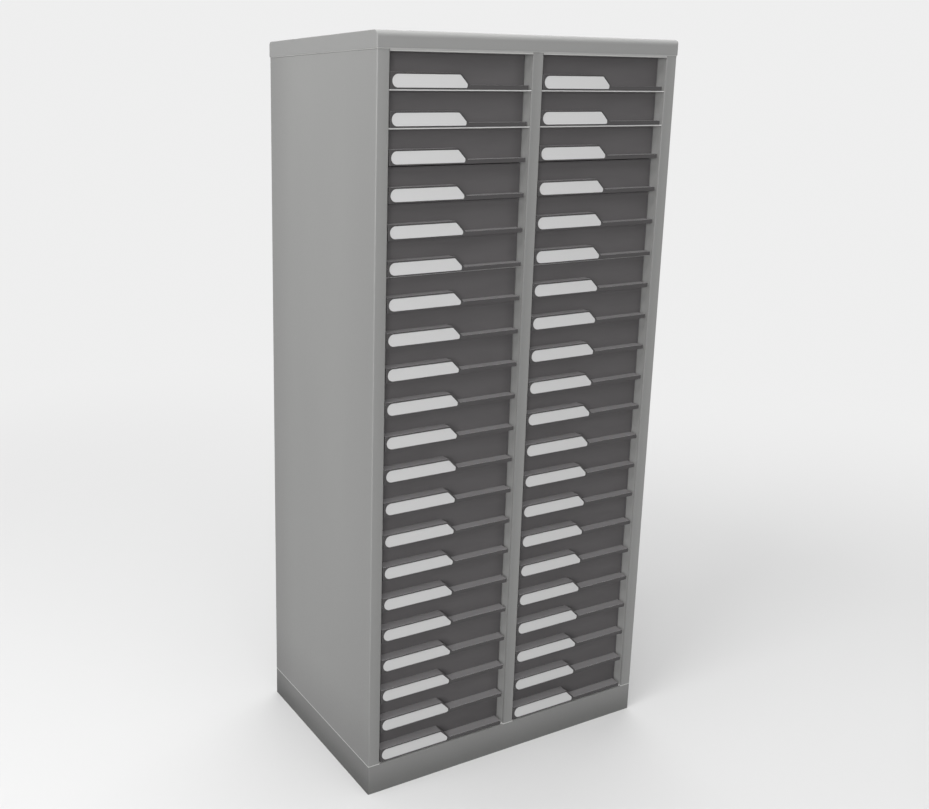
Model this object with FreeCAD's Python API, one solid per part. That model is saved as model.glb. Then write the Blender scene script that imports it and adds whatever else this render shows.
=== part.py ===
import FreeCAD, Part
import math
import os

from FreeCAD import Vector

# A free-standing document cabinet with two columns of shallow drawers.
# Millimetres. +Z is up, the drawers face -Y and +X is to the viewer's right.
# The origin is on the floor under the middle of the cabinet.

# Carcass
body_width = 540.0
body_depth = 340.0
plinth_height = 50.0
row_count = 21
row_pitch = 51.5
head_space = 2.5
top_board_height = 23.5
top_board_overhang = 1.0
top_board_edge_radius = 9.0
top_board_end_radius = 1.2
top_board_corner_radius = 2.0

# Folded sheet of the side panels, the centre stile and the plinth
frame_sheet = 1.5
bend_radius = 2.0
side_stile_width = 20.5
centre_stile_width = 19.5
stile_return = 22.0
rear_flange = 20.0
plinth_top_flange = 18.0
plinth_bottom_flange = 12.0

# Flat sheet of the top, the floor, the liners and the back
flat_sheet = 1.2
top_sheet_overhang = 0.6
floor_sheet_setback = 3.0
liner_front_gap = 2.5
back_panel_side_gap = 0.5

# Cross rails
rail_setback = 1.5
rail_depth = 22.0
rail_clearance = 0.3
railed_rows = 2
middle_rail_row = 6
middle_rail_setback = 8.5

# Runner strips
runner_reach = 7.0
runner_thickness = 2.5
runner_front_gap = 2.0
runner_rear_gap = 7.0

# Drawer front
front_side_gap = 1.5
front_rise = 0.5
front_top_gap = 1.8
front_setback = 1.0
front_thickness = 2.5
lip_depth = 16.5
lip_height = 6.2
lip_right_inset = 3.5
lip_edge_radius = 0.6
grip_groove_depth = 3.2
grip_groove_width = 10.0
grip_groove_wall = 2.5

# Drawer tray
tray_wall = 1.8
tray_runner_clearance = 0.3
tray_wall_drop = 2.0
tray_rear_gap = 6.0
tray_inner_radius = 2.0

# Stop lugs on the tray's sides, which meet the stiles' returns when a drawer is fully out
drawer_travel = 240.0
stop_clearance = 0.3
stop_side_clearance = 0.5
stop_lug_length = 6.0
stop_lug_height = 12.0
stop_lug_rise = 10.0

# Label plate and card
label_length = 123.0
label_height = 18.0
label_left_margin = 3.5
label_bottom_margin = 2.0
label_end_radius = 8.9
label_corner_radius = 4.0
label_tip_height = 5.5
label_tip_radius = 2.5
plate_border = 2.4
plate_corner_radius = 7.0
card_thickness = 0.5
card_pocket_depth = 0.8
card_clearance = 0.8

# Back panel screws
screws_per_side = 6
screw_radius = 1.7
screw_hole_radius = 2.0
screw_head_radius = 3.8
screw_head_height = 1.4
screw_length = 8.0
screw_end_margin = 60.0
screw_slot_width = 0.9
screw_slot_depth = 0.7

# Two places closer than this are one place
same_place = 1e-6

# Places worked out from the sizes above
front_y = -body_depth / 2
back_y = body_depth / 2
left_x = -body_width / 2
opening_width = (body_width - 2 * side_stile_width - centre_stile_width) / 2
left_opening_x = left_x + side_stile_width
right_opening_x = centre_stile_width / 2
carcass_top = plinth_height + row_count * row_pitch + head_space
stile_top = carcass_top - flat_sheet
plinth_top = plinth_height - flat_sheet
back_panel_y = back_y - frame_sheet - flat_sheet
lip_y = front_y + front_setback
front_panel_y = lip_y + lip_depth
front_width = opening_width - 2 * front_side_gap
lip_width = front_width - lip_right_inset
front_height = row_pitch - front_rise - front_top_gap
tray_floor_z = runner_thickness + tray_runner_clearance - front_rise
tray_top_z = front_height - tray_wall_drop
tray_back_y = back_panel_y - tray_rear_gap
stop_lug_reach = front_side_gap + frame_sheet - stop_side_clearance
stop_lug_y = front_y + stile_return + drawer_travel + stop_clearance
runner_front_y = front_y + stile_return + runner_front_gap
runner_back_y = back_panel_y - runner_rear_gap
plate_height = label_bottom_margin + label_height + plate_border
screw_x = body_width / 2 - rear_flange / 2


def box(x_range, y_range, z_range):
    """A box from its lowest and highest value along each axis."""
    size = [high - low for low, high in (x_range, y_range, z_range)]
    return Part.makeBox(*size, Vector(x_range[0], y_range[0], z_range[0]))


def outline_face(corners, place):
    """A flat face from (u, v, radius) corners in order; place turns u and v into a point."""
    starts = []
    edges = []
    count = len(corners)
    for index, (u, v, radius) in enumerate(corners):
        here = Vector(u, v, 0)
        before = Vector(corners[index - 1][0], corners[index - 1][1], 0)
        after = Vector(corners[(index + 1) % count][0], corners[(index + 1) % count][1], 0)
        towards_before = (before - here).normalize()
        towards_after = (after - here).normalize()
        if radius <= 0:
            starts.append((here, here, None))
            continue
        half_angle = towards_before.getAngle(towards_after) / 2
        cut_back = radius / math.tan(half_angle)
        bisector = (towards_before + towards_after).normalize()
        middle = here + bisector * (radius / math.sin(half_angle) - radius)
        starts.append((here + towards_before * cut_back, here + towards_after * cut_back, middle))
    for index, (arc_start, arc_end, middle) in enumerate(starts):
        next_start = starts[(index + 1) % count][0]
        if middle is not None:
            arc_points = [place(p.x, p.y) for p in (arc_start, middle, arc_end)]
            edges.append(Part.Arc(*arc_points).toShape())
        if (next_start - arc_end).Length > same_place:
            line_points = [place(p.x, p.y) for p in (arc_end, next_start)]
            edges.append(Part.LineSegment(*line_points).toShape())
    return Part.Face(Part.Wire(Part.__sortEdges__(edges)))


def upright_prism(corners, z_range):
    """An outline seen from above, raised from one height to another."""
    face = outline_face(corners, lambda u, v: Vector(u, v, z_range[0]))
    return face.extrude(Vector(0, 0, z_range[1] - z_range[0]))


def front_prism(corners, y_range):
    """An outline seen from the front, given depth along Y."""
    face = outline_face(corners, lambda u, v: Vector(u, y_range[0], v))
    return face.extrude(Vector(0, y_range[1] - y_range[0], 0))


def rounded_plate(width, depth, radius, z_range):
    """A rectangle centred on the origin with rounded corners, raised between two heights."""
    half_w = width / 2
    half_d = depth / 2
    signs = ((-1, -1), (1, -1), (1, 1), (-1, 1))
    corners = [(x_sign * half_w, y_sign * half_d, radius) for x_sign, y_sign in signs]
    return upright_prism(corners, z_range)


def folded_sheet(path, z_range):
    """A sheet folded along a path of outer corners, with its thickness on the path's right."""
    directions = [(Vector(*b, 0) - Vector(*a, 0)).normalize() for a, b in zip(path, path[1:])]
    rights = [Vector(d.y, -d.x, 0) for d in directions]
    inner = [Vector(*path[0], 0) + rights[0] * frame_sheet]
    for index in range(1, len(path) - 1):
        inner.append(Vector(*path[index], 0) + (rights[index - 1] + rights[index]) * frame_sheet)
    inner.append(Vector(*path[-1], 0) + rights[-1] * frame_sheet)
    inner_radius = bend_radius - frame_sheet
    corners = [(u, v, bend_radius) for u, v in path]
    corners[0] = (*path[0], 0)
    corners[-1] = (*path[-1], 0)
    back = [(p.x, p.y, inner_radius) for p in reversed(inner)]
    back[0] = (inner[-1].x, inner[-1].y, 0)
    back[-1] = (inner[0].x, inner[0].y, 0)
    return upright_prism(corners + back, z_range)


def mirrored(shape):
    """The same shape on the other side of the cabinet's middle."""
    return shape.mirror(Vector(0, 0, 0), Vector(1, 0, 0))


def screw_heights():
    """Heights of the back panel's screws, evenly spread between the two end margins."""
    lowest = plinth_height + screw_end_margin
    step = (stile_top - screw_end_margin - lowest) / (screws_per_side - 1)
    return [lowest + step * index for index in range(screws_per_side)]


def screw_holes():
    """Clearance holes for the back panel's screws, as one tool for cutting."""
    start_y = back_panel_y - flat_sheet
    length = back_y - start_y + flat_sheet
    holes = []
    for x in (-screw_x, screw_x):
        for z in screw_heights():
            start = Vector(x, start_y, z)
            holes.append(Part.makeCylinder(screw_hole_radius, length, start, Vector(0, 1, 0)))
    return Part.makeCompound(holes)


def side_panel_left():
    """Outer side wall, front stile with its return into the opening, and rear flange."""
    path = [
        (left_opening_x, front_y + stile_return),
        (left_opening_x, front_y),
        (left_x, front_y),
        (left_x, back_y),
        (left_x + rear_flange, back_y),
    ]
    return folded_sheet(path, (plinth_height, stile_top)).cut(screw_holes())


def centre_stile():
    """Folded channel between the two columns."""
    half = centre_stile_width / 2
    path = [
        (half, front_y + stile_return),
        (half, front_y),
        (-half, front_y),
        (-half, front_y + stile_return),
    ]
    return folded_sheet(path, (plinth_height, stile_top))


def liner(outer_x, bay_side):
    """Sheet against the inside of a stile's return; bay_side is +1 where the bay lies towards +X."""
    face_x = outer_x - bay_side * frame_sheet
    x_range = sorted((face_x, face_x - bay_side * flat_sheet))
    y_range = (front_y + frame_sheet + liner_front_gap, back_panel_y)
    return box(x_range, y_range, (plinth_height, stile_top))


def runner_strips(outer_x, bay_side):
    """One strip for each row on a liner's face."""
    face_x = outer_x - bay_side * frame_sheet
    x_range = sorted((face_x, outer_x + bay_side * runner_reach))
    strips = []
    for row in range(row_count):
        z = row_base(row)
        strips.append(box(x_range, (runner_front_y, runner_back_y), (z, z + runner_thickness)))
    return Part.makeCompound(strips)


def back_panel():
    """Flat sheet held against the inside of the rear flanges."""
    half = body_width / 2 - bend_radius - back_panel_side_gap
    panel = box((-half, half), (back_panel_y, back_panel_y + flat_sheet), (plinth_height, stile_top))
    return panel.cut(screw_holes())


def plinth():
    """Open ring of folded sheet with a flange inwards at its top and at its foot."""
    ring = rounded_plate(body_width, body_depth, bend_radius, (0, plinth_top))
    inner_w = body_width - 2 * frame_sheet
    inner_d = body_depth - 2 * frame_sheet
    hollow_z_range = (frame_sheet, plinth_top - frame_sheet)
    hollow = rounded_plate(inner_w, inner_d, bend_radius - frame_sheet, hollow_z_range)
    ring = ring.cut(hollow)
    for flange, z_range in (
        (plinth_bottom_flange, (0, frame_sheet)),
        (plinth_top_flange, (plinth_top - frame_sheet, plinth_top)),
    ):
        half_w = body_width / 2 - flange
        half_d = body_depth / 2 - flange
        ring = ring.cut(box((-half_w, half_w), (-half_d, half_d), z_range))
    return ring


def floor_sheet():
    """Sheet between the plinth and the carcass, set back in front of the drawers."""
    z_range = (plinth_top, plinth_height)
    sheet = rounded_plate(body_width, body_depth, bend_radius, z_range)
    for x in (left_opening_x, right_opening_x):
        sheet = sheet.cut(box((x, x + opening_width), (front_y, front_y + floor_sheet_setback), z_range))
    return sheet


def top_sheet():
    """Sheet that closes the carcass under the top board and stands a little proud of its sides."""
    width = body_width + 2 * top_sheet_overhang
    depth = body_depth + 2 * top_sheet_overhang
    return rounded_plate(width, depth, bend_radius + top_sheet_overhang, (stile_top, carcass_top))


def top_board():
    """Board with a rolled upper edge in front and behind and plain ends, a little larger than the carcass."""
    half_w = body_width / 2 + top_board_overhang
    half_d = body_depth / 2 + top_board_overhang
    low = carcass_top
    high = carcass_top + top_board_height
    edge = top_board_edge_radius
    end = top_board_end_radius
    across = [(-half_w, low, 0), (half_w, low, 0), (half_w, high, end), (-half_w, high, end)]
    along = [(-half_d, low, 0), (half_d, low, 0), (half_d, high, edge), (-half_d, high, edge)]
    board = front_prism(across, (-half_d, half_d))
    end_face = outline_face(along, lambda u, v: Vector(-half_w, u, v))
    board = board.common(end_face.extrude(Vector(2 * half_w, 0, 0)))
    return board.common(rounded_plate(2 * half_w, 2 * half_d, top_board_corner_radius, (low, high)))


def rail_heights(row):
    """Lowest and highest level of a rail in the gap under a row's fronts."""
    z = row_base(row)
    return (z - front_top_gap + rail_clearance, z + front_rise - rail_clearance)


def cross_rails():
    """Light strips above the top row, under the upper rows and, further back, under one more."""
    head_low = carcass_top - head_space - front_top_gap + rail_clearance
    sections = [(0, (head_low, stile_top))]
    for row in range(railed_rows):
        sections.append((rail_setback, rail_heights(row)))
    sections.append((middle_rail_setback, rail_heights(middle_rail_row - 1)))
    rails = []
    for x in (left_opening_x, right_opening_x):
        for setback, z_range in sections:
            y_range = (front_y + setback, front_y + rail_depth)
            rails.append(box((x, x + opening_width), y_range, z_range))
    return Part.makeCompound(rails)


def screws():
    """Slotted low-head screws through the rear flanges and the back panel."""
    pieces = []
    for x in (-screw_x, screw_x):
        for z in screw_heights():
            tip = Vector(x, back_y - screw_length, z)
            shank = Part.makeCylinder(screw_radius, screw_length, tip, Vector(0, 1, 0))
            seat = Vector(x, back_y, z)
            head = Part.makeCylinder(screw_head_radius, screw_head_height, seat, Vector(0, 1, 0))
            half_slot = screw_slot_width / 2
            slot_y = back_y + screw_head_height - screw_slot_depth
            slot = box(
                (x - screw_head_radius, x + screw_head_radius),
                (slot_y, slot_y + screw_slot_depth),
                (z - half_slot, z + half_slot),
            )
            pieces.append(shank.fuse(head).removeSplitter().cut(slot))
    return Part.makeCompound(pieces)


def label_corners(grow):
    """The label's outline, grown outwards by a margin; its lower left corner starts at (0, 0)."""
    low = -grow
    high = label_height + grow
    slant_shift = grow * (math.sqrt(2) - 1)
    tip_x = label_length + grow
    tip_z = label_tip_height + slant_shift
    top_x = tip_x - (high - tip_z)
    return [
        (-grow, low, label_end_radius + grow),
        (tip_x, low, label_tip_radius + grow),
        (tip_x, tip_z, label_tip_radius + grow),
        (top_x, high, label_corner_radius + grow),
        (-grow, high, label_end_radius + grow),
    ]


def moved(corners, x, z):
    """An outline shifted along both of its directions."""
    return [(u + x, v + z, radius) for u, v, radius in corners]


def drawer_tray():
    """Tray, front, lip and label plate in one moulding; X and Z start at the front's lower left corner."""
    panel = box((0, front_width), (front_panel_y, front_panel_y + front_thickness), (0, front_height))
    lip = box((0, lip_width), (lip_y, front_panel_y), (0, lip_height))
    slant_foot_x = label_left_margin + label_length + plate_border * math.sqrt(2) + label_tip_height
    slant_foot_x += label_bottom_margin - lip_height
    slant_top_x = slant_foot_x - (plate_height - lip_height)
    plate_corners = [
        (0, 0, 0),
        (slant_foot_x, 0, 0),
        (slant_foot_x, lip_height, 0),
        (slant_top_x, plate_height, plate_corner_radius),
        (0, plate_height, 0),
    ]
    plate = front_prism(plate_corners, (lip_y, front_panel_y))
    lip = lip.fuse(plate).removeSplitter()
    front_edges = [e for e in lip.Edges if on_front(e) and not at_foot(e)]
    lip = lip.makeFillet(lip_edge_radius, front_edges)
    groove_x_range = (grip_groove_wall, lip_width - grip_groove_wall)
    groove_y = lip_y + grip_groove_wall
    lip = lip.cut(box(groove_x_range, (groove_y, groove_y + grip_groove_width), (0, grip_groove_depth)))
    pocket = front_prism(
        moved(label_corners(card_clearance), label_left_margin, label_bottom_margin),
        (lip_y, lip_y + card_pocket_depth),
    )
    lip = lip.cut(pocket)
    return panel.fuse([lip, tray_shell(front_width)]).removeSplitter()


def on_front(edge):
    """Whether an edge lies in the plane of the lip's front."""
    return all(abs(v.Y - lip_y) < same_place for v in edge.Vertexes)


def at_foot(edge):
    """Whether an edge runs along the underside of the lip."""
    return all(abs(v.Z) < same_place for v in edge.Vertexes)


def tray_shell(width):
    """Open tray behind the front, with rounded inner corners."""
    front = front_panel_y + front_thickness
    shell = box((0, width), (front, tray_back_y), (tray_floor_z, tray_top_z))
    inside = box(
        (tray_wall, width - tray_wall),
        (front, tray_back_y - tray_wall),
        (tray_floor_z + tray_wall, tray_top_z + tray_wall),
    )
    rounded = [e for e in inside.Edges if not at_level(e, tray_top_z + tray_wall)]
    shell = shell.cut(inside.makeFillet(tray_inner_radius, rounded))
    return shell.fuse(stop_lugs(width))


def stop_lugs(width):
    """A lug on each outer side of the tray, beside the liner and behind the stile's return."""
    low = tray_floor_z + stop_lug_rise
    y_range = (stop_lug_y, stop_lug_y + stop_lug_length)
    z_range = (low, low + stop_lug_height)
    left_lug = box((-stop_lug_reach, tray_wall), y_range, z_range)
    right_lug = box((width - tray_wall, width + stop_lug_reach), y_range, z_range)
    return [left_lug, right_lug]


def at_level(edge, z):
    """Whether an edge lies at one height."""
    return all(abs(v.Z - z) < same_place for v in edge.Vertexes)


def label_card():
    """White card in the plate's pocket, in the tray's own place."""
    y_range = (lip_y + card_pocket_depth - card_thickness, lip_y + card_pocket_depth)
    return front_prism(moved(label_corners(0), label_left_margin, label_bottom_margin), y_range)


def row_base(row):
    """Height of the bottom of a row's space; row 0 is the top one."""
    return plinth_height + (row_count - 1 - row) * row_pitch


def save(name, shape):
    """Check one piece and write it."""
    if not shape.isValid():
        raise ValueError("invalid shape: " + name)
    shape.exportStep("parts/" + name + ".step")
    print(name, "solids", len(shape.Solids), "volume", round(shape.Volume / 1000, 1), "cm3")


os.makedirs("parts", exist_ok=True)

left_panel = side_panel_left()
save("side_panel_left", left_panel)
save("side_panel_right", mirrored(left_panel))
save("centre_stile", centre_stile())

centre_half = centre_stile_width / 2
for place, x, bay_side in (
    ("left_outer", left_opening_x, 1),
    ("left_inner", -centre_half, -1),
    ("right_inner", centre_half, 1),
    ("right_outer", -left_opening_x, -1),
):
    save("liner_" + place, liner(x, bay_side))
    save("runners_" + place, runner_strips(x, bay_side))

save("back_panel", back_panel())
save("plinth", plinth())
save("floor_sheet", floor_sheet())
save("top_sheet", top_sheet())
save("top_board", top_board())
save("cross_rails", cross_rails())
save("screws", screws())

tray = drawer_tray()
card = label_card()
for side, opening_x in (("left", left_opening_x), ("right", right_opening_x)):
    for row in range(row_count):
        shift = Vector(opening_x + front_side_gap, 0, row_base(row) + front_rise)
        drawer = Part.makeCompound([tray.translated(shift), card.translated(shift)])
        save("drawer_%s_%02d" % (side, row + 1), drawer)
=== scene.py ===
import math

import bpy
from mathutils import Matrix, Vector


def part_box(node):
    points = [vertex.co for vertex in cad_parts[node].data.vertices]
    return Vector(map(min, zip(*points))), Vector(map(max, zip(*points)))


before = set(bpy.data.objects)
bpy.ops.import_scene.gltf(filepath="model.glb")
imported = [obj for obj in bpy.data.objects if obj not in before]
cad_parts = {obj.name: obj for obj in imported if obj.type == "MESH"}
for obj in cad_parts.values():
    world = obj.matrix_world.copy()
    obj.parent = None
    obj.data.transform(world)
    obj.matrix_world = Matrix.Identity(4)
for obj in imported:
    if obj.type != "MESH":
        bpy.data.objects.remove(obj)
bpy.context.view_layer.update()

# The looks of a free-standing document cabinet: powder-coated sheet, a laminated top board, charcoal
# plastic drawers with paper label cards. Metres, +Z up, the drawers face -Y.

# Camera, as the photograph was taken
IMAGE_WIDTH = 929
IMAGE_HEIGHT = 809
SENSOR_WIDTH = 36.0
FOCAL_PIXELS = 1054.4
CENTRE_X_PIXELS = 317.8
CENTRE_Y_PIXELS = 355.3
CAMERA_PLACE = Vector((-1.00666, -1.42939, 1.06181))
CAMERA_YAW = math.radians(27.223)
CAMERA_PITCH = math.radians(13.446)
CAMERA_ROLL = math.radians(-0.028)

# Colours, linear
CARCASS_GREY = (0.302, 0.302, 0.297)
BOARD_GREY = (0.297, 0.297, 0.293)
EDGE_GREY = (0.66, 0.66, 0.65)
HEAD_GREY = (0.50, 0.50, 0.49)
LINER_GREY = (0.28, 0.28, 0.275)
CHARCOAL = (0.110, 0.105, 0.107)
CARD_WHITE = (0.68, 0.68, 0.68)
ZINC = (0.55, 0.55, 0.56)
DUST = (0.32, 0.31, 0.30)
LIP_DUST_AND_LIGHT = (0.335, 0.325, 0.330)
BLACK = (0.0, 0.0, 0.0)
FLOOR_SEEN = (0.70, 0.70, 0.70)
FLOOR_BOUNCE = (0.15, 0.15, 0.15)
BACKGROUND = (0.86, 0.86, 0.86)

# Shades, as multiples of a colour: the plinth's paint, darker as painted shade; a dark tone for soil and
# painted shade; a pale tone for painted light and highlights; the board's painted highlight where it rolls
# over the edge; painted light on panel tops
PLINTH_SHADE = 0.80
SOIL_AND_SHADE_TONE = 0.15
PAINTED_LIGHT_TONE = 1.8
ROLLED_HIGHLIGHT_TONE = 1.7
PANEL_TOP_LIGHT_TONE = 2.0

# Carcass: its front and back, the stiles' edges at the two openings, and the plinth's top
BODY_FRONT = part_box("side_panel_left")[0].y
BODY_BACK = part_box("side_panel_left")[1].y
INNER_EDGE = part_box("centre_stile")[1].x
OUTER_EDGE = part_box("cross_rails")[1].x
PLINTH_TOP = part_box("floor_sheet")[0].z

# Drawers: the lips' front, the face and back of the panels behind them, the foot of the lowest row, and
# the rows' number and pitch
LIP_DEPTH = 0.0165
PANEL_THICKNESS = 0.0025
LIP_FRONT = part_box("drawer_left_01")[0].y
PANEL_FACE = LIP_FRONT + LIP_DEPTH
PANEL_BACK = PANEL_FACE + PANEL_THICKNESS
ROWS_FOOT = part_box("floor_sheet")[1].z
ROWS = sum(name.startswith("drawer_left_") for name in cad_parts)
ROW_PITCH = (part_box("drawer_left_01")[0].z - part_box("drawer_left_%02d" % ROWS)[0].z) / (ROWS - 1)

# The label card inside its pocket, and how far apart two depths may be that count as one
CARD_RECESS = 0.0003
CARD_THICKNESS = 0.0005
DEPTH_SLACK = 0.00001

# A bend starts where the largest part of a face's normal falls below the first, and is full at the second
BEND_START = 0.985
BEND_FULL = 0.90

# Painted shade: the height it reaches on the carcass, and where it starts on the side faces towards their
# back, their front and their foot
CARCASS_SHADE_TOP = 0.4
SIDE_BACK_SHADE = 0.08
SIDE_FRONT_SHADE = -0.05
SIDE_FOOT_SHADE = 0.16

# Openings: how far painted shade reaches over the outer stiles, where these stop counting as part of an
# opening, what lies near enough the middle to be the centre stile, and where the stiles' returns start and
# end behind the body's front
STILE_SHADE_END = OUTER_EDGE + 0.018
OPENING_FULL = OUTER_EDGE + 0.014
OPENING_END = OUTER_EDGE + 0.016
CENTRE_FULL = OUTER_EDGE / 3
CENTRE_END = OUTER_EDGE / 2
RETURN_START = BODY_FRONT + 0.002
RETURN_FULL = BODY_FRONT + 0.004
RETURN_LAST = BODY_FRONT + 0.03
RETURN_END = BODY_FRONT + 0.04

# The returns turn paler, as painted light, down from the first level to the second, and back from the first
# depth to the second
PALER_TOP = 0.9
PALER_FOOT = 0.1
PALER_START = BODY_FRONT + 0.005
PALER_FULL = BODY_FRONT + 0.016

# Painted shade on the drawers' panels: where it starts and is full beside the centre stile and beside the
# outer stiles, and the level below which it deepens
PANEL_SHADE_INNER_START = INNER_EDGE + 0.024
PANEL_SHADE_INNER_FULL = INNER_EDGE + 0.004
PANEL_SHADE_OUTER_START = OUTER_EDGE - 0.012
PANEL_SHADE_OUTER_FULL = OUTER_EDGE - 0.002
PANEL_SHADE_TOP = 0.13

# Share of the dark tone on the stiles' bends, as painted shade, and share of black on the lips
BEND_DARKENING = 0.22
LIP_DARKENING = 0.40

# A mark on the lips fades out in front of the panels, and one on the panels fades out just behind them
LIP_MARK_FULL = PANEL_FACE - 0.001
PANEL_MARK_FULL = PANEL_BACK + 0.0001
PANEL_MARK_END = PANEL_BACK + 0.0005

# Floor: half its side, how far it lies below the plinth's foot, and where it fades into the background
FLOOR_HALF = 40.0
FLOOR_DROP = 0.0001
FLOOR_FADE_START = 0.9
FLOOR_FADE_END = 2.6

# Light of the sky at the horizon and overhead, and the height at which it starts to rise
SKY_LOW = 0.30
SKY_HIGH = 1.18
SKY_GLOW_START = 0.2

# Soft square lamps: name, place, aim, side in metres and power in watts
LAMPS = (
    ("high_left", Vector((-2.0, -0.5, 3.0)), Vector((0.0, 0.0, 0.7)), 1.6, 52.0),
    ("front_left", Vector((-3.2, -3.9, 1.6)), Vector((0.0, 0.0, 0.6)), 2.4, 130.0),
    ("high_front", Vector((0.0, -2.2, 3.4)), Vector((0.0, 0.0, 0.6)), 2.0, 12.0),
    ("back_right", Vector((2.2, 2.4, 1.9)), Vector((0.0, 0.0, 0.6)), 3.4, 48.0),
)


class Nodes:
    """The node tree of a material or of the world, built by short calls."""

    def __init__(self, owner):
        owner.use_nodes = True
        self.owner = owner
        self.tree = owner.node_tree
        self.tree.nodes.clear()

    def add(self, kind, settings=None, **inputs):
        """Add a node; inputs are values or other nodes' sockets, named as the node's own sockets are."""
        node = self.tree.nodes.new(kind)
        for key, value in (settings or {}).items():
            setattr(node, key, value)
        for key, value in inputs.items():
            self.feed(node, key.replace("_", " "), value)
        return node

    def feed(self, node, key, value):
        """Set one input of a node, or link a socket to it; a key of digits is the input's index."""
        socket = node.inputs[int(key)] if key.isdigit() else node.inputs[key]
        if isinstance(value, bpy.types.NodeSocket):
            self.tree.links.new(value, socket)
        elif hasattr(value, "__len__") and len(value) == 3 and socket.type == "RGBA":
            socket.default_value = (*value, 1.0)
        else:
            socket.default_value = value

    def math(self, operation, first, second=0.0, clamp=False):
        """One arithmetic step on two values."""
        node = self.add("ShaderNodeMath", {"operation": operation, "use_clamp": clamp})
        self.feed(node, "0", first)
        self.feed(node, "1", second)
        return node.outputs[0]

    def add_up(self, *values):
        """The sum of some values."""
        total = values[0]
        for value in values[1:]:
            total = self.math("ADD", total, value)
        return total

    def times(self, *values):
        """The product of some values, such as a mask that needs several others."""
        product = values[0]
        for value in values[1:]:
            product = self.math("MULTIPLY", product, value)
        return product

    def unless(self, mask):
        """1 where a mask is 0, and 0 where it is 1."""
        return self.math("SUBTRACT", 1.0, mask)

    def mix(self, share, first, second):
        """Blend two colours, which a Mix node takes at the indices 6 and 7."""
        node = self.add("ShaderNodeMix", {"data_type": "RGBA"})
        self.feed(node, "0", share)
        self.feed(node, "6", first)
        self.feed(node, "7", second)
        return node.outputs[2]

    def mix_value(self, share, first, second):
        """Blend two values, which a Mix node takes at the indices 2 and 3."""
        node = self.add("ShaderNodeMix", Factor=share)
        self.feed(node, "2", first)
        self.feed(node, "3", second)
        return node.outputs[0]

    def mix_surface(self, share, first, second):
        """Blend two surfaces or backgrounds."""
        node = self.add("ShaderNodeMixShader")
        self.feed(node, "0", share)
        self.feed(node, "1", first)
        self.feed(node, "2", second)
        return node.outputs[0]

    def ramp(self, value, low, high, to_low=0.0, to_high=1.0):
        """A smooth step between two values."""
        node = self.add(
            "ShaderNodeMapRange",
            {"interpolation_type": "SMOOTHSTEP"},
            Value=value,
            From_Min=low,
            From_Max=high,
            To_Min=to_low,
            To_Max=to_high,
        )
        return node.outputs[0]

    def shades(self, color, noise, dark, light, low=0.3, high=0.7):
        """A colour that drifts with a noise between a darker and a lighter shade of itself."""
        return self.mix(self.ramp(noise, low, high), scaled(color, dark), scaled(color, light))

    def tint(self, tone, mask, share, color):
        """Blend a share of a colour into a tone where a mask allows it."""
        return self.mix(self.math("MULTIPLY", mask, share), tone, color)

    def spread(self, noise, start, amount):
        """A value that a noise lifts from its start by up to an amount."""
        return self.math("ADD", self.math("MULTIPLY", noise, amount), start)

    def place(self):
        """The point on the piece, in metres."""
        return self.add("ShaderNodeTexCoord").outputs["Object"]

    def parts(self, vector):
        """X, Y and Z of a vector."""
        return self.add("ShaderNodeSeparateXYZ", Vector=vector).outputs

    def normal(self):
        """X, Y and Z of the direction that a face looks in."""
        return self.parts(self.add("ShaderNodeNewGeometry").outputs["Normal"])

    def facing_up(self):
        """1 on a face that looks straight up, 0 on a wall."""
        return self.normal()[2]

    def facing_side(self):
        """1 on a face that looks to either side, 0 on a front, a back or a top."""
        return self.math("ABSOLUTE", self.normal()[0])

    def on_bend(self):
        """1 on a rounded edge, 0 on a face square to an axis."""
        normal = self.normal()
        across = self.math("MAXIMUM", self.math("ABSOLUTE", normal[0]), self.math("ABSOLUTE", normal[1]))
        across = self.math("MAXIMUM", across, self.math("ABSOLUTE", normal[2]))
        return self.ramp(across, BEND_START, BEND_FULL)

    def seen(self):
        """1 where the camera sees a point, also in a mirror or through glass, 0 where only light bounces."""
        rays = self.add("ShaderNodeLightPath").outputs
        direct = self.math("ADD", rays["Is Camera Ray"], rays["Is Glossy Ray"], clamp=True)
        return self.math("ADD", direct, rays["Is Transmission Ray"], clamp=True)

    def noise(self, vector, scale, detail=2.0, roughness=0.5):
        """Soft noise about 1 / scale metres across."""
        node = self.add(
            "ShaderNodeTexNoise", Vector=vector, Scale=scale, Detail=detail, Roughness=roughness
        )
        return node.outputs[0]

    def stretched(self, vector, factors):
        """A place scaled along each axis, for streaks."""
        node = self.add("ShaderNodeVectorMath", {"operation": "MULTIPLY"})
        self.feed(node, "0", vector)
        self.feed(node, "1", factors)
        return node.outputs[0]

    def distance(self, vector):
        """How far a place is from the origin."""
        node = self.add("ShaderNodeVectorMath", {"operation": "LENGTH"})
        self.feed(node, "0", vector)
        return node.outputs["Value"]

    def bump(self, height, depth, normal=None):
        """A relief of a given depth in metres."""
        node = self.add("ShaderNodeBump", Height=height, Distance=depth, Strength=1.0)
        if normal is not None:
            self.feed(node, "Normal", normal)
        return node.outputs[0]

    def finish(self, color, roughness, normal, **fixed):
        """A Principled surface and its output; gives back the material."""
        surface = self.add(
            "ShaderNodeBsdfPrincipled", Base_Color=color, Roughness=roughness, Normal=normal, **fixed
        )
        self.add("ShaderNodeOutputMaterial", Surface=surface.outputs[0])
        return self.owner


def scaled(color, factor):
    """A colour made lighter or darker."""
    return tuple(value * factor for value in color)


def height_in_row(n, level):
    """0 at the bottom of a drawer's space, 1 at its top."""
    return n.math("FRACT", n.math("DIVIDE", n.math("SUBTRACT", level, ROWS_FOOT), ROW_PITCH))


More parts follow.
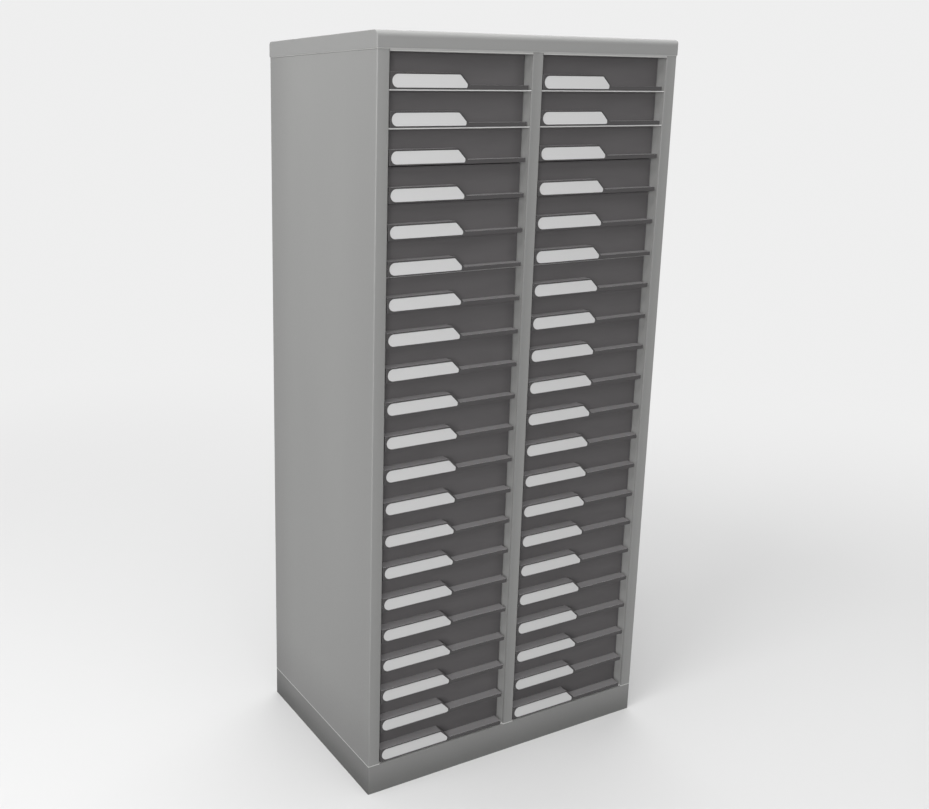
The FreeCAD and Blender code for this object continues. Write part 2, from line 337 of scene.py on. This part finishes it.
def soil_and_painted_shade(n, tone, color, height, low_darkening, side_shade):
    """Painted shade with some soil from the floor up to a height, in patches, and painted shade on the side
    faces all over, most along their edges.
    """
    _, depth, level = n.parts(n.place())
    # Painted shade towards the floor, in patches like soil
    smudges = n.noise(n.stretched(n.place(), (1.0, 1.0, 3.0)), scale=25.0, detail=4.0, roughness=0.6)
    patches = n.ramp(smudges, low=0.1, high=0.6, to_low=0.85 * low_darkening, to_high=low_darkening)
    low_shade = n.times(n.ramp(level, height, 0.0), patches)
    # Painted shade on the side faces, deepest along their back, front and foot
    side_edge_shade = n.add_up(
        n.ramp(depth, SIDE_BACK_SHADE, BODY_BACK, to_low=side_shade, to_high=side_shade + 0.16),
        n.ramp(depth, SIDE_FRONT_SHADE, BODY_FRONT, to_high=0.07),
        n.ramp(level, SIDE_FOOT_SHADE, PLINTH_TOP, to_high=0.17),
    )
    share = n.add_up(low_shade, n.times(n.facing_side(), side_edge_shade))
    return n.mix(share, tone, scaled(color, SOIL_AND_SHADE_TONE))


def opening_painted_light(n, tone, color):
    """Painted shade and light round the openings: the stiles' fronts and bends are darker, their returns
    paler.
    """
    across, depth, level = n.parts(n.place())
    from_middle = n.math("ABSOLUTE", across)
    inside = n.ramp(from_middle, OPENING_END, OPENING_FULL)
    behind = n.ramp(depth, RETURN_START, RETURN_FULL)
    near_front = n.ramp(depth, RETURN_END, RETURN_LAST)

    # Painted shade on the stiles' fronts, deepest towards the openings
    stile_shade = n.ramp(from_middle, STILE_SHADE_END, OUTER_EDGE, to_high=0.10)
    at_centre = n.ramp(from_middle, CENTRE_END, CENTRE_FULL)
    # As painted shade, the centre stile is darker along its left edge than along its right
    centre_share = n.ramp(across, INNER_EDGE, -INNER_EDGE, to_low=0.4, to_high=1.8)
    stile_shade = n.times(stile_shade, n.mix_value(at_centre, 1.0, centre_share), n.unless(behind))
    # Painted shade on the stiles' bends inside the openings
    bends = n.times(n.on_bend(), inside, near_front)
    stile_shade = n.add_up(stile_shade, n.times(bends, BEND_DARKENING))
    tone = n.mix(stile_shade, tone, scaled(color, SOIL_AND_SHADE_TONE))

    # Painted light on the stiles' returns: low down, deep in and just under each lip
    returns_light = n.add_up(
        n.ramp(level, PALER_TOP, PALER_FOOT, to_low=0.10, to_high=0.34),
        n.ramp(depth, PALER_START, PALER_FULL, to_high=0.20),
        n.ramp(height_in_row(n, level), low=0.6, high=1.0, to_high=0.30),
    )
    returns = n.times(behind, inside, near_front, n.unless(bends))
    return n.mix(n.times(returns_light, returns), tone, scaled(color, PAINTED_LIGHT_TONE))


def carcass_painted_light(n, tone, color):
    """Painted shade low down and along the sides' edges, and painted shade and light round the openings."""
    tone = soil_and_painted_shade(n, tone, color, height=CARCASS_SHADE_TOP, low_darkening=0.06, side_shade=0.0)
    return opening_painted_light(n, tone, color)


def plinth_soil_and_painted_shade(n, tone, color):
    """Darker most at the floor, painted shade with some soil, and painted shade on the sides."""
    return soil_and_painted_shade(n, tone, color, height=PLINTH_TOP, low_darkening=0.42, side_shade=0.10)


def powder_coat(name, color, painted_light_and_soil=None):
    """Satin powder coat: orange peel, fine grain, faint clouds, a painted highlight on the bends, dust on
    top.
    """
    n = Nodes(bpy.data.materials.new(name))
    place = n.place()
    clouds = n.noise(n.stretched(place, (1.0, 1.0, 0.35)), scale=5.0, detail=3.0)
    peel = n.noise(place, scale=450.0)
    grain = n.noise(place, scale=2600.0, detail=1.0)
    tone = n.shades(color, clouds, dark=0.975, light=1.02)
    tone = n.tint(tone, grain, share=0.10, color=scaled(color, 0.85))
    # Painted highlight on the bends, in every powder coat
    tone = n.tint(tone, n.on_bend(), share=0.06, color=scaled(color, PAINTED_LIGHT_TONE))
    tone = n.mix(n.ramp(n.facing_up(), low=0.6, high=1.0, to_high=0.12), tone, DUST)
    if painted_light_and_soil:
        tone = painted_light_and_soil(n, tone, color)
    normal = n.bump(peel, depth=0.00012)
    normal = n.bump(grain, depth=0.00002, normal=normal)
    roughness = n.spread(peel, start=0.36, amount=0.14)
    return n.finish(tone, roughness, normal, Specular_IOR_Level=0.4)


def laminate(name, color):
    """Plain light grey laminate with a very fine pearl texture, and a painted highlight where it rolls over
    the edge.
    """
    n = Nodes(bpy.data.materials.new(name))
    place = n.place()
    pearl = n.noise(place, scale=1500.0)
    clouds = n.noise(place, scale=4.0)
    tone = n.shades(color, clouds, dark=0.985, light=1.015)
    tone = n.tint(tone, pearl, share=0.08, color=scaled(color, 0.8))
    # Painted highlight where the board rolls over its edge, faint on the top
    off_the_wall = n.ramp(n.facing_up(), low=0.15, high=0.8)
    off_the_top = n.ramp(n.facing_up(), low=0.9, high=1.0, to_low=1.0, to_high=0.3)
    rolled_highlight = n.times(off_the_wall, off_the_top)
    tone = n.tint(tone, rolled_highlight, share=0.45, color=scaled(color, ROLLED_HIGHLIGHT_TONE))
    roughness = n.spread(pearl, start=0.38, amount=0.12)
    return n.finish(tone, roughness, n.bump(pearl, depth=0.00003), Specular_IOR_Level=0.45)


def drawer_marks_and_painted_light(n, tone, color):
    """Darker lips, painted shade at the panels' ends and low down, painted light along the panels' tops, and
    dust with painted light on the fronts' upward faces.
    """
    across, depth, level = n.parts(n.place())
    from_middle = n.math("ABSOLUTE", across)
    on_lip = n.ramp(depth, PANEL_FACE, LIP_MARK_FULL)
    on_front = n.ramp(depth, PANEL_MARK_END, PANEL_MARK_FULL)
    on_panel = n.math("SUBTRACT", on_front, on_lip)

    # Painted shade on the panels beside the stiles and low down
    panel_darkening = n.add_up(
        n.ramp(from_middle, PANEL_SHADE_INNER_START, PANEL_SHADE_INNER_FULL, to_high=0.14),
        n.ramp(from_middle, PANEL_SHADE_OUTER_START, PANEL_SHADE_OUTER_FULL, to_high=0.10),
        n.ramp(level, PANEL_SHADE_TOP, PLINTH_TOP, to_high=0.16),
    )
    darker = n.add_up(n.times(on_lip, LIP_DARKENING), n.times(panel_darkening, on_panel))
    tone = n.mix(darker, tone, BLACK)
    # Painted light along the upper part of each panel, under the lip above
    top_light = n.ramp(height_in_row(n, level), low=0.80, high=0.96, to_high=0.35)
    tone = n.mix(n.times(top_light, on_panel), tone, scaled(color, PANEL_TOP_LIGHT_TONE))

    # Dust and painted light on the fronts' upward faces, most towards the panels
    dust_and_light = n.ramp(depth, LIP_FRONT, PANEL_FACE, to_low=0.52, to_high=0.85)
    level_face = n.ramp(n.facing_up(), low=0.85, high=1.0)
    return n.mix(n.times(dust_and_light, on_front, level_face), tone, LIP_DUST_AND_LIGHT)


def moulded_plastic(name, color):
    """Charcoal moulding with a fine eroded grain and faint flow streaks."""
    n = Nodes(bpy.data.materials.new(name))
    place = n.place()
    grain = n.noise(place, scale=1800.0, detail=3.0, roughness=0.6)
    flow = n.noise(n.stretched(place, (1.0, 1.0, 4.0)), scale=12.0, detail=3.0)
    tone = n.shades(color, flow, dark=0.95, light=1.05)
    tone = n.tint(tone, grain, share=0.15, color=scaled(color, 0.7))
    tone = drawer_marks_and_painted_light(n, tone, color)
    roughness = n.spread(grain, start=0.46, amount=0.18)
    return n.finish(tone, roughness, n.bump(grain, depth=0.00004), Specular_IOR_Level=0.35)


def card_paper(name, color):
    """Matt white card with fibres."""
    n = Nodes(bpy.data.materials.new(name))
    fibres = n.noise(n.stretched(n.place(), (1.0, 1.0, 2.5)), scale=900.0, detail=4.0, roughness=0.65)
    tone = n.shades(color, fibres, dark=0.97, light=1.0, low=0.35, high=0.65)
    relief = n.bump(fibres, depth=0.00002)
    return n.finish(tone, roughness=0.85, normal=relief, Specular_IOR_Level=0.2)


def zinc_plate(name, color):
    """Zinc-plated steel of the screws."""
    n = Nodes(bpy.data.materials.new(name))
    patches = n.noise(n.place(), scale=700.0, detail=3.0)
    tone = n.shades(color, patches, dark=0.85, light=1.0)
    roughness = n.spread(patches, start=0.25, amount=0.2)
    return n.finish(tone, roughness, n.bump(patches, depth=0.00002), Metallic=1.0)


def dress(materials):
    """Give every CAD node its material; drawers and cross rails have a second one."""
    kinds = {
        "plinth": "plinth",
        "floor_sheet": "edge",
        "top_sheet": "head",
        "cross_rails": "edge",
        "top_board": "board",
        "screws": "zinc",
    }
    for name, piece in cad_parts.items():
        piece.data.materials.clear()
        if name.startswith("drawer_"):
            piece.data.materials.append(materials["plastic"])
            piece.data.materials.append(materials["card"])
            paint_card(piece)
        elif name.startswith("liner_"):
            piece.data.materials.append(materials["liner"])
        elif name.startswith("runners_"):
            piece.data.materials.append(materials["edge"])
        else:
            piece.data.materials.append(materials[kinds.get(name, "carcass")])
    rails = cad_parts["cross_rails"]
    rails.data.materials.append(materials["head"])
    paint_head(rails)


def paint_head(rails):
    """Give the uppermost rails, above the top row, the second material."""
    mesh = rails.data
    head_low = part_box("drawer_left_01")[1].z
    for polygon in mesh.polygons:
        lowest = min(mesh.vertices[index].co.z for index in polygon.vertices)
        polygon.material_index = 1 if lowest > head_low else 0


def paint_card(drawer):
    """Give the label card's faces the second material; the pocket's floor is level with the card's back."""
    mesh = drawer.data
    card_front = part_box(drawer.name)[0].y + CARD_RECESS
    card_back = card_front + CARD_THICKNESS
    for polygon in mesh.polygons:
        depths = [mesh.vertices[index].co.y for index in polygon.vertices]
        starts_at_front = abs(min(depths) - card_front) < DEPTH_SLACK
        ends_at_back = max(depths) < card_back + DEPTH_SLACK
        polygon.material_index = 1 if starts_at_front and ends_at_back else 0


def add_camera():
    """A level-headed pinhole camera turned by yaw, then pitch, with the crop's off-centre axis as shift."""
    sin_yaw = math.sin(CAMERA_YAW)
    cos_yaw = math.cos(CAMERA_YAW)
    sin_pitch = math.sin(CAMERA_PITCH)
    cos_pitch = math.cos(CAMERA_PITCH)
    forward = Vector((sin_yaw * cos_pitch, cos_yaw * cos_pitch, -sin_pitch))
    level_right = Vector((cos_yaw, -sin_yaw, 0.0))
    level_up = level_right.cross(forward)
    right = level_right * math.cos(CAMERA_ROLL) + level_up * math.sin(CAMERA_ROLL)
    up = level_up * math.cos(CAMERA_ROLL) - level_right * math.sin(CAMERA_ROLL)
    data = bpy.data.cameras.new("camera")
    data.sensor_fit = "HORIZONTAL"
    data.sensor_width = SENSOR_WIDTH
    data.lens = FOCAL_PIXELS / IMAGE_WIDTH * SENSOR_WIDTH
    data.shift_x = (IMAGE_WIDTH / 2 - CENTRE_X_PIXELS) / IMAGE_WIDTH
    data.shift_y = (CENTRE_Y_PIXELS - IMAGE_HEIGHT / 2) / IMAGE_WIDTH
    camera = bpy.data.objects.new("camera", data)
    bpy.context.scene.collection.objects.link(camera)
    turn = Matrix((right, up, -forward)).transposed().to_4x4()
    camera.matrix_world = Matrix.Translation(CAMERA_PLACE) @ turn
    bpy.context.scene.camera = camera


def floor_material():
    """Pale floor that keeps the shadow near the cabinet and melts into the background further out."""
    n = Nodes(bpy.data.materials.new("floor"))
    seen = n.seen()
    matt = n.add("ShaderNodeBsdfDiffuse", Color=n.mix(seen, FLOOR_BOUNCE, FLOOR_SEEN))
    backdrop = n.add("ShaderNodeEmission", Color=BACKGROUND, Strength=1.0)
    far = n.times(n.ramp(n.distance(n.place()), FLOOR_FADE_START, FLOOR_FADE_END), seen)
    blend = n.mix_surface(far, matt.outputs[0], backdrop.outputs[0])
    n.add("ShaderNodeOutputMaterial", Surface=blend)
    return n.owner


def add_floor():
    """One large pale plane under the cabinet."""
    mesh = bpy.data.meshes.new("floor")
    signs = ((-1, -1), (1, -1), (1, 1), (-1, 1))
    mesh.from_pydata([(x * FLOOR_HALF, y * FLOOR_HALF, 0.0) for x, y in signs], [], [(0, 1, 2, 3)])
    mesh.materials.append(floor_material())
    floor = bpy.data.objects.new("floor", mesh)
    bpy.context.scene.collection.objects.link(floor)
    floor.location.z = -FLOOR_DROP


def add_world():
    """Even light from all round, and a plain pale background where it is seen."""
    world = bpy.data.worlds.new("studio")
    bpy.context.scene.world = world
    n = Nodes(world)
    level = n.parts(n.add("ShaderNodeTexCoord").outputs["Generated"])[2]
    brightness = n.add(
        "ShaderNodeMapRange", Value=level, From_Min=SKY_GLOW_START, To_Min=SKY_LOW, To_Max=SKY_HIGH
    )
    light = n.add("ShaderNodeBackground", Strength=brightness.outputs[0])
    backdrop = n.add("ShaderNodeBackground", Color=BACKGROUND, Strength=1.0)
    blend = n.mix_surface(n.seen(), light.outputs[0], backdrop.outputs[0])
    n.add("ShaderNodeOutputWorld", Surface=blend)


def add_lamp(name, place, aim, side, power):
    """A soft square lamp aimed at a point."""
    data = bpy.data.lights.new(name, "AREA")
    data.shape = "SQUARE"
    data.size = side
    data.energy = power
    lamp = bpy.data.objects.new(name, data)
    bpy.context.scene.collection.objects.link(lamp)
    lamp.location = place
    lamp.rotation_euler = (aim - place).to_track_quat("-Z", "Y").to_euler()


add_camera()
add_floor()
add_world()
for lamp in LAMPS:
    add_lamp(*lamp)

dress({
    "carcass": powder_coat("carcass_paint", CARCASS_GREY, carcass_painted_light),
    # The plinth's paint is a darker copy of the carcass grey: painted shade
    "plinth": powder_coat("plinth_paint", scaled(CARCASS_GREY, PLINTH_SHADE), plinth_soil_and_painted_shade),
    "liner": powder_coat("liner_paint", LINER_GREY),
    "edge": powder_coat("edge_paint", EDGE_GREY),
    "head": powder_coat("head_paint", HEAD_GREY),
    "board": laminate("board_laminate", BOARD_GREY),
    "plastic": moulded_plastic("drawer_plastic", CHARCOAL),
    "card": card_paper("label_card", CARD_WHITE),
    "zinc": zinc_plate("screw_zinc", ZINC),
})

bpy.context.scene.view_settings.view_transform = "Standard"
